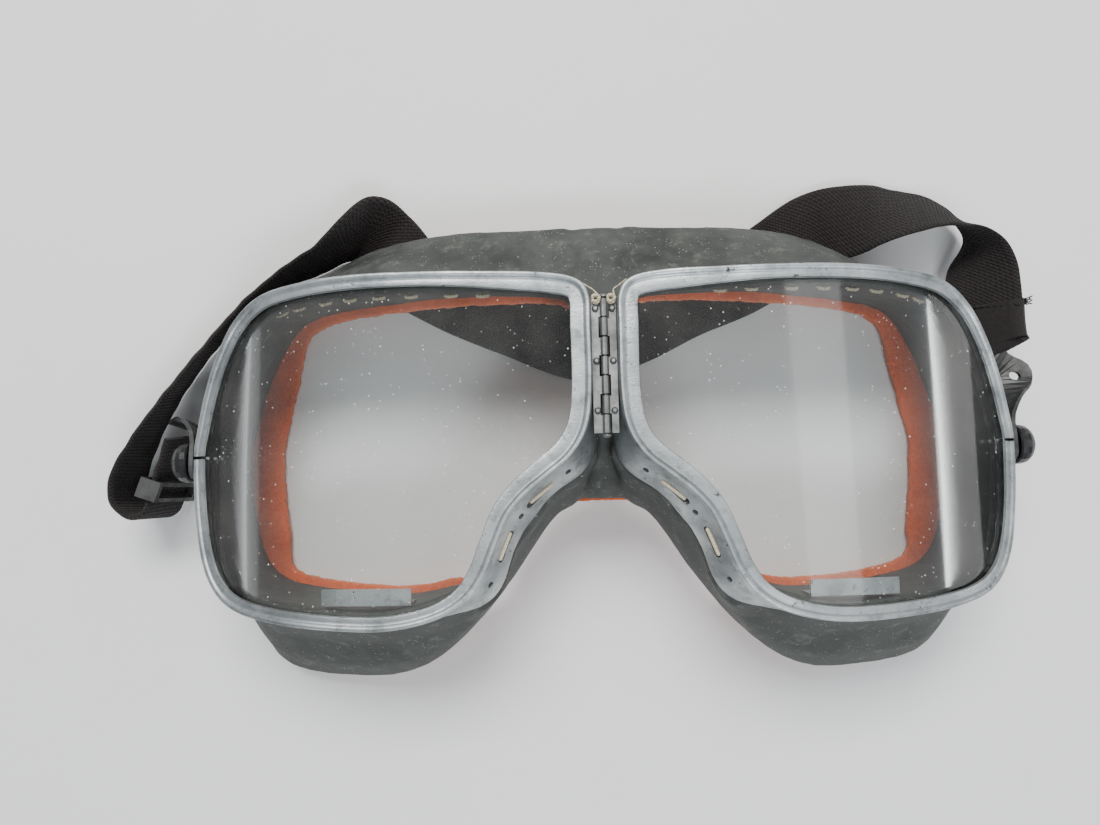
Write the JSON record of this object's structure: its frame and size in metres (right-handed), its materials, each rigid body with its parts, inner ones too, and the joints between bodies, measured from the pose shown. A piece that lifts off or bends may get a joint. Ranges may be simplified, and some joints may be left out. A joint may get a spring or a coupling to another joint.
{
  "type": "safety goggles",
  "caption": "Split-lens safety goggles: hinged alloy rims with curved clear lenses, rubber face seal with felt lining, and elastic strap with hooks and an adjuster.",
  "frame": {"origin": "middle of the whole object's footprint, on the surface that it lies on", "axes": "+X to the right half, along the goggles' width; +Y to the forehead side; +Z out through the lenses, away from the face"},
  "size_m": [0.204, 0.1132, 0.0424],
  "materials": {
    "alloy": "worn satin",
    "lens": "clear, dusty",
    "steel": "worn",
    "seal_rubber": "matt, with bloom",
    "felt": "felt",
    "knob_plastic": "moulded",
    "webbing": "ribbed elastic webbing",
    "thread": "waxed thread"
  },
  "bodies": {
    "left_half": {"rim_left": "alloy", "lens_left": "lens", "lens_clip_left": "steel", "seal_left": "seal_rubber", "lining_left": "felt", "hinge_leaf_left": "alloy", "hinge_pin": "steel", "rivet_left_1": "steel", "rivet_left_2": "steel", "rivet_left_3": "steel", "nose_stitch_left_1": "thread", "nose_stitch_left_2": "thread", "temple_screw_left": "steel", "seal_bridge": "seal_rubber", "strap_middle": "webbing", "strap_left": "webbing"},
    "right_half": {"rim_right": "alloy", "lens_right": "lens", "lens_clip_right": "steel", "seal_right": "seal_rubber", "lining_right": "felt", "hinge_leaf_right": "alloy", "rivet_right_1": "steel", "rivet_right_2": "steel", "rivet_right_3": "steel", "nose_stitch_right_1": "thread", "nose_stitch_right_2": "thread", "temple_screw_right": "steel", "strap_right": "webbing"},
    "knob_left": {"temple_knob_left": "knob_plastic"},
    "knob_right": {"temple_knob_right": "knob_plastic"},
    "hook_left": {"strap_hook_left": "steel"},
    "hook_right": {"strap_hook_right": "steel"},
    "slider": {"slider_frame": "steel"}
  },
  "joints": [
    {"name": "nose_hinge", "type": "hinge", "parent": "left_half", "child": "right_half", "pos_m": [0.0071, 0.00865, 0.0406], "axis": [0, 1, 0], "range_deg": [-12, 10], "stiffness_Nm_per_rad": 2, "deforming": ["seal_bridge", "strap_middle"]},
    {"name": "hook_right_swivel", "type": "hinge", "parent": "right_half", "child": "hook_right", "pos_m": [0.0943, -0.00815, 0.0244], "axis": [1, 0, 0], "range_deg": [0, 60], "deforming": ["strap_right"]},
    {"name": "hook_left_swivel", "type": "hinge", "parent": "left_half", "child": "hook_left", "pos_m": [-0.0801, -0.00815, 0.0244], "axis": [1, 0, 0], "range_deg": [-20, 60], "deforming": ["strap_left"]},
    {"name": "knob_right_turn", "type": "hinge", "parent": "right_half", "child": "knob_right", "pos_m": [0.0943, -0.00815, 0.0244], "axis": [1, 0, 0], "continuous": true},
    {"name": "knob_left_turn", "type": "hinge", "parent": "left_half", "child": "knob_left", "pos_m": [-0.0801, -0.00815, 0.0244], "axis": [-1, 0, 0], "continuous": true},
    {"name": "slider_slide", "type": "slide", "parent": "left_half", "child": "slider", "axis": [0.33, 0.944, 0], "range_m": [-0.001, 0.003]}
  ]
}
